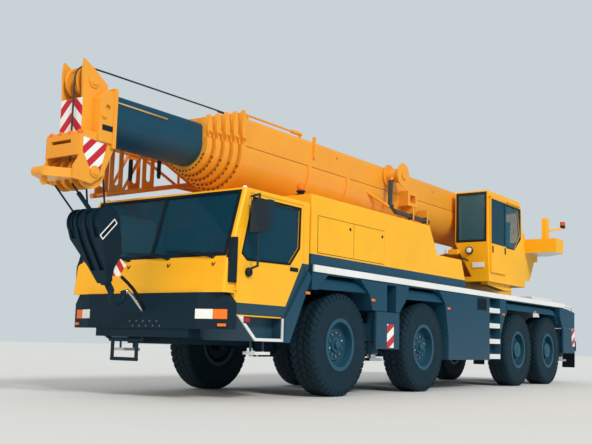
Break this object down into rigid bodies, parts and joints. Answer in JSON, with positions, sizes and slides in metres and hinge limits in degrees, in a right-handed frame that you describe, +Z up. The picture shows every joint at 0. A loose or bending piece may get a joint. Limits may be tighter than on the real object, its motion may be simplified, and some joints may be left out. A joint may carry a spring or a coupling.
{
  "type": "mobile crane",
  "caption": "All-terrain telescopic mobile crane with steered axles, slewing upper, luffing and telescoping boom, sliding outriggers and hanging hook block.",
  "frame": {"origin": "on the ground at the middle of the crane's length and width, boom stowed forward", "axes": "+X forward along the vehicle, +Y to its left, +Z up"},
  "size_m": [14.1599, 3.14, 3.77],
  "materials": {
    "yellow_paint": "gloss two-coat paint, yellow",
    "orange_paint": "gloss paint, orange",
    "slate_paint": "satin paint, dark blue-grey",
    "black_paint": "satin black paint",
    "white_rail": "bright rail",
    "tyre_rubber": "ribbed and lugged tyre",
    "tinted_glass": "tinted safety glass",
    "seat_trim": "dark seats and dashboard",
    "bright_rod": "hard chromed rod",
    "engine_iron": "cast block"
  },
  "bodies": {
    "carrier": {"chassis_frame": "slate_paint", "outrigger_housings": "slate_paint", "axles": "black_paint", "deck": "slate_paint", "stripe_rails": "white_rail", "side_panels": "slate_paint", "steps": "slate_paint", "front_bumper": "black_paint", "cab_shell": "yellow_paint", "cab_glass": "tinted_glass", "cab_interior": "seat_trim", "engine_cover": "yellow_paint", "engine": "engine_iron", "rear_crossbar": "black_paint"},
    "door_left": {"door_left": "yellow_paint", "door_glass_left": "tinted_glass"},
    "door_right": {"door_right": "yellow_paint", "door_glass_right": "tinted_glass"},
    "upper": {"turntable": "yellow_paint", "operator_cab": "yellow_paint", "operator_glass": "tinted_glass", "operator_seat": "seat_trim", "counterweight": "yellow_paint", "winch": "black_paint"},
    "operator_door": {"operator_door": "yellow_paint"},
    "boom": {"boom_base": "yellow_paint", "jib": "orange_paint"},
    "knuckle_1_left": {"knuckle_1_left": "black_paint"},
    "wheel_1_left": {"wheel_1_left": "tyre_rubber"},
    "knuckle_1_right": {"knuckle_1_right": "black_paint"},
    "wheel_1_right": {"wheel_1_right": "tyre_rubber"},
    "knuckle_2_left": {"knuckle_2_left": "black_paint"},
    "wheel_2_left": {"wheel_2_left": "tyre_rubber"},
    "knuckle_2_right": {"knuckle_2_right": "black_paint"},
    "wheel_2_right": {"wheel_2_right": "tyre_rubber"},
    "knuckle_3_left": {"knuckle_3_left": "black_paint"},
    "wheel_3_left": {"wheel_3_left": "tyre_rubber"},
    "knuckle_3_right": {"knuckle_3_right": "black_paint"},
    "wheel_3_right": {"wheel_3_right": "tyre_rubber"},
    "knuckle_4_left": {"knuckle_4_left": "black_paint"},
    "wheel_4_left": {"wheel_4_left": "tyre_rubber"},
    "knuckle_4_right": {"knuckle_4_right": "black_paint"},
    "wheel_4_right": {"wheel_4_right": "tyre_rubber"},
    "beam_front_left": {"outrigger_beam_front_left": "slate_paint"},
    "jack_front_left": {"jack_front_left": "bright_rod"},
    "beam_front_right": {"outrigger_beam_front_right": "slate_paint"},
    "jack_front_right": {"jack_front_right": "bright_rod"},
    "beam_rear_left": {"outrigger_beam_rear_left": "slate_paint"},
    "jack_rear_left": {"jack_rear_left": "bright_rod"},
    "beam_rear_right": {"outrigger_beam_rear_right": "slate_paint"},
    "jack_rear_right": {"jack_rear_right": "bright_rod"},
    "section_1": {"tele_1": "yellow_paint"},
    "section_2": {"tele_2": "yellow_paint"},
    "section_3": {"tele_3": "yellow_paint"},
    "section_4": {"tele_4": "yellow_paint"},
    "section_5": {"tele_5": "slate_paint", "boom_head": "yellow_paint"},
    "hook": {"hook_block": "black_paint"},
    "luff_barrel": {"luff_barrel": "yellow_paint"},
    "luff_rod": {"luff_rod": "bright_rod"}
  },
  "joints": [
    {"name": "steer_1_left", "type": "hinge", "parent": "carrier", "child": "knuckle_1_left", "pos_m": [2.9, 0.8, 0.685], "axis": [0, 0, 1], "range_deg": [-30, 30]},
    {"name": "spin_1_left", "type": "hinge", "parent": "knuckle_1_left", "child": "wheel_1_left", "pos_m": [2.9, 1.0525, 0.685], "axis": [0, 1, 0], "continuous": true},
    {"name": "steer_1_right", "type": "hinge", "parent": "carrier", "child": "knuckle_1_right", "pos_m": [2.9, -0.8, 0.685], "axis": [0, 0, 1], "range_deg": [-30, 30]},
    {"name": "spin_1_right", "type": "hinge", "parent": "knuckle_1_right", "child": "wheel_1_right", "pos_m": [2.9, -1.0525, 0.685], "axis": [0, 1, 0], "continuous": true},
    {"name": "steer_2_left", "type": "hinge", "parent": "carrier", "child": "knuckle_2_left", "pos_m": [0.466, 0.8, 0.685], "axis": [0, 0, 1], "range_deg": [-20, 20]},
    {"name": "spin_2_left", "type": "hinge", "parent": "knuckle_2_left", "child": "wheel_2_left", "pos_m": [0.466, 1.0525, 0.685], "axis": [0, 1, 0], "continuous": true},
    {"name": "steer_2_right", "type": "hinge", "parent": "carrier", "child": "knuckle_2_right", "pos_m": [0.466, -0.8, 0.685], "axis": [0, 0, 1], "range_deg": [-20, 20]},
    {"name": "spin_2_right", "type": "hinge", "parent": "knuckle_2_right", "child": "wheel_2_right", "pos_m": [0.466, -1.0525, 0.685], "axis": [0, 1, 0], "continuous": true},
    {"name": "steer_3_left", "type": "hinge", "parent": "carrier", "child": "knuckle_3_left", "pos_m": [-3.501, 0.8, 0.685], "axis": [0, 0, 1], "range_deg": [-14, 14]},
    {"name": "spin_3_left", "type": "hinge", "parent": "knuckle_3_left", "child": "wheel_3_left", "pos_m": [-3.501, 1.0525, 0.685], "axis": [0, 1, 0], "continuous": true},
    {"name": "steer_3_right", "type": "hinge", "parent": "carrier", "child": "knuckle_3_right", "pos_m": [-3.501, -0.8, 0.685], "axis": [0, 0, 1], "range_deg": [-14, 14]},
    {"name": "spin_3_right", "type": "hinge", "parent": "knuckle_3_right", "child": "wheel_3_right", "pos_m": [-3.501, -1.0525, 0.685], "axis": [0, 1, 0], "continuous": true},
    {"name": "steer_4_left", "type": "hinge", "parent": "carrier", "child": "knuckle_4_left", "pos_m": [-5.151, 0.8, 0.685], "axis": [0, 0, 1], "range_deg": [-20, 20]},
    {"name": "spin_4_left", "type": "hinge", "parent": "knuckle_4_left", "child": "wheel_4_left", "pos_m": [-5.151, 1.0525, 0.685], "axis": [0, 1, 0], "continuous": true},
    {"name": "steer_4_right", "type": "hinge", "parent": "carrier", "child": "knuckle_4_right", "pos_m": [-5.151, -0.8, 0.685], "axis": [0, 0, 1], "range_deg": [-20, 20]},
    {"name": "spin_4_right", "type": "hinge", "parent": "knuckle_4_right", "child": "wheel_4_right", "pos_m": [-5.151, -1.0525, 0.685], "axis": [0, 1, 0], "continuous": true},
    {"name": "cab_door_left", "type": "hinge", "parent": "carrier", "child": "door_left", "pos_m": [5.184, 1.267, 1.4], "axis": [0, 0, -1], "range_deg": [0, 70]},
    {"name": "cab_door_right", "type": "hinge", "parent": "carrier", "child": "door_right", "pos_m": [5.184, -1.267, 1.4], "axis": [0, 0, 1], "range_deg": [0, 70]},
    {"name": "outrigger_front_left", "type": "slide", "parent": "carrier", "child": "beam_front_left", "axis": [0, 1, 0], "range_m": [0, 1.6]},
    {"name": "jack_down_front_left", "type": "slide", "parent": "beam_front_left", "child": "jack_front_left", "axis": [0, 0, -1], "range_m": [0, 0.54]},
    {"name": "outrigger_front_right", "type": "slide", "parent": "carrier", "child": "beam_front_right", "axis": [0, -1, 0], "range_m": [0, 1.6]},
    {"name": "jack_down_front_right", "type": "slide", "parent": "beam_front_right", "child": "jack_front_right", "axis": [0, 0, -1], "range_m": [0, 0.54]},
    {"name": "outrigger_rear_left", "type": "slide", "parent": "carrier", "child": "beam_rear_left", "axis": [0, 1, 0], "range_m": [0, 1.6]},
    {"name": "jack_down_rear_left", "type": "slide", "parent": "beam_rear_left", "child": "jack_rear_left", "axis": [0, 0, -1], "range_m": [0, 0.54]},
    {"name": "outrigger_rear_right", "type": "slide", "parent": "carrier", "child": "beam_rear_right", "axis": [0, -1, 0], "range_m": [0, 1.6]},
    {"name": "jack_down_rear_right", "type": "slide", "parent": "beam_rear_right", "child": "jack_rear_right", "axis": [0, 0, -1], "range_m": [0, 0.54]},
    {"name": "slew", "type": "hinge", "parent": "carrier", "child": "upper", "pos_m": [-3.1, 0, 1.72], "axis": [0, 0, 1], "continuous": true},
    {"name": "boom_luff", "type": "hinge", "parent": "upper", "child": "boom", "pos_m": [-5.1, 0, 3.23], "axis": [0, -1, 0], "range_deg": [0, 82]},
    {"name": "operator_door_slide", "type": "slide", "parent": "upper", "child": "operator_door", "axis": [-1, 0, 0], "range_m": [0, 0.62]},
    {"name": "telescope_1", "type": "slide", "parent": "boom", "child": "section_1", "axis": [1, 0, 0], "range_m": [0, 7.4]},
    {"name": "telescope_2", "type": "slide", "parent": "section_1", "child": "section_2", "axis": [1, 0, 0], "range_m": [0, 7.4]},
    {"name": "telescope_3", "type": "slide", "parent": "section_2", "child": "section_3", "axis": [1, 0, 0], "range_m": [0, 7.4]},
    {"name": "telescope_4", "type": "slide", "parent": "section_3", "child": "section_4", "axis": [1, 0, 0], "range_m": [0, 7.4]},
    {"name": "telescope_5", "type": "slide", "parent": "section_4", "child": "section_5", "axis": [1, 0, 0], "range_m": [0, 7.4]},
    {"name": "hook_hang", "type": "hinge", "parent": "section_5", "child": "hook", "pos_m": [6.51, 0, 2.5], "axis": [0, -1, 0], "range_deg": [-44, 0]},
    {"name": "luff_barrel_pivot", "type": "hinge", "parent": "upper", "child": "luff_barrel", "pos_m": [-3.85, 0, 2], "axis": [0, -1, 0], "range_deg": [0, 81]},
    {"name": "luff_rod_slide", "type": "slide", "parent": "luff_barrel", "child": "luff_rod", "axis": [0.9924, 0, 0.1234], "range_m": [0, 2.29954]}
  ],
  "couplings": [
    {"joint": "steer_1_right", "follows": "steer_1_left", "ratio": 1},
    {"joint": "steer_2_left", "follows": "steer_1_left", "ratio": 0.66667},
    {"joint": "steer_2_right", "follows": "steer_1_left", "ratio": 0.66667},
    {"joint": "steer_3_left", "follows": "steer_4_left", "ratio": 0.7},
    {"joint": "steer_3_right", "follows": "steer_4_left", "ratio": 0.7},
    {"joint": "steer_4_right", "follows": "steer_4_left", "ratio": 1},
    {"joint": "hook_hang", "follows": "boom_luff", "ratio": -0.53658},
    {"joint": "luff_barrel_pivot", "follows": "boom_luff", "ratio": 0.98778},
    {"joint": "luff_rod_slide", "follows": "boom_luff", "m_per_rad": 1.6068}
  ]
}
